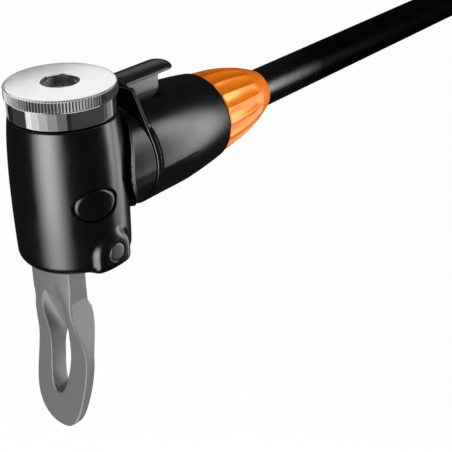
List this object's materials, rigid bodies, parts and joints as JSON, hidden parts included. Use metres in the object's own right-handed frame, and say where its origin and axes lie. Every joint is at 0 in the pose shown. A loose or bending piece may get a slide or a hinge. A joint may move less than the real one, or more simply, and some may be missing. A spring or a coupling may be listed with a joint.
{
  "type": "tyre pump head with hose",
  "caption": "Clamp-on tyre valve head with a screw cap, cam lever, swivelling arm and thumb rest, on a flexible air hose that ends in a union nut.",
  "frame": {"origin": "centre of the valve hole's mouth, on the screw cap's top face", "axes": "+Z out of the valve hole, the way a tyre valve leaves; +X along the arm, the way the hose leaves; Y along the lever's pin"},
  "size_m": [0.3558, 0.0512, 0.1547],
  "materials": {
    "housing_black": "satin moulded black",
    "cap_chrome": "polished plating, knurled rim",
    "lever_grey": "satin mid-grey moulding",
    "pin_steel": "turned steel",
    "sleeve_dark": "satin dark grey moulding",
    "tab_grey": "satin grey moulding",
    "badge_dark": "bare oval plate",
    "collar_orange": "satin orange moulding",
    "hose_rubber": "smooth black rubber",
    "seal_rubber": "moulded rubber",
    "brass": "turned brass",
    "spring_steel": "drawn wire and pressed ferrules",
    "plunger_white": "natural acetal",
    "tie_black": "woven hook-and-loop strap"
  },
  "bodies": {
    "head": {"housing": "housing_black", "lever_pin": "pin_steel", "badge_plate": "badge_dark", "valve_seal": "seal_rubber", "cap_oring": "seal_rubber", "sleeve_oring": "seal_rubber", "sleeve_clip": "spring_steel", "connector_clip": "spring_steel"},
    "cap_thread": {"slip_washer": "spring_steel"},
    "cap": {"screw_cap": "cap_chrome"},
    "plunger": {"plunger": "plunger_white", "plunger_oring_upper": "seal_rubber", "plunger_oring_lower": "seal_rubber", "pin_bush": "brass", "pin_spring": "spring_steel"},
    "depressor": {"depressor_pin": "brass"},
    "lever": {"lever": "lever_grey"},
    "sleeve": {"arm_sleeve": "sleeve_dark", "thumb_tab": "tab_grey"},
    "hose_line": {"hose_connector": "brass", "connector_oring": "seal_rubber", "hose_collar": "collar_orange", "hose_ferrule": "spring_steel", "hose_root": "hose_rubber", "hose": "hose_rubber", "hose_coil": "hose_rubber", "hose_tail": "hose_rubber", "hose_tie": "tie_black", "end_ferrule": "spring_steel", "end_connector": "brass", "end_washer": "seal_rubber"},
    "union_nut": {"end_nut": "brass"}
  },
  "joints": [
    {"name": "lever_hinge", "type": "hinge", "parent": "head", "child": "lever", "pos_m": [0, 0, -0.038], "axis": [0, -1, 0], "range_deg": [0, 90]},
    {"name": "plunger_slide", "type": "slide", "parent": "head", "child": "plunger", "axis": [0, 0, 1], "range_m": [-0.0019, 0], "deforming": ["valve_seal"]},
    {"name": "depressor_slide", "type": "slide", "parent": "plunger", "child": "depressor", "axis": [0, 0, 1], "range_m": [-0.0025, 0], "stiffness_N_per_m": 100, "springref_m": 0.0004, "deforming": ["pin_spring"]},
    {"name": "cap_lift", "type": "slide", "parent": "head", "child": "cap_thread", "axis": [0, 0, 1], "range_m": [0, 0.0045]},
    {"name": "cap_turn", "type": "hinge", "parent": "cap_thread", "child": "cap", "pos_m": [0, 0, 0], "axis": [0, 0, 1], "range_deg": [0, 1080]},
    {"name": "sleeve_turn", "type": "hinge", "parent": "head", "child": "sleeve", "pos_m": [0.0162, 0, -0.023], "axis": [1, 0, 0], "range_deg": [-90, 90]},
    {"name": "hose_swivel", "type": "hinge", "parent": "head", "child": "hose_line", "pos_m": [0.0162, 0, -0.023], "axis": [1, 0, 0], "continuous": true},
    {"name": "nut_turn", "type": "hinge", "parent": "hose_line", "child": "union_nut", "pos_m": [0.33418, -0.02959, -0.11802], "axis": [0, 0, 1], "continuous": true}
  ],
  "couplings": [
    {"joint": "lever_hinge", "follows": "plunger_slide", "rad_per_m": -826.73},
    {"joint": "cap_turn", "follows": "cap_lift", "rad_per_m": 4188.8}
  ]
}
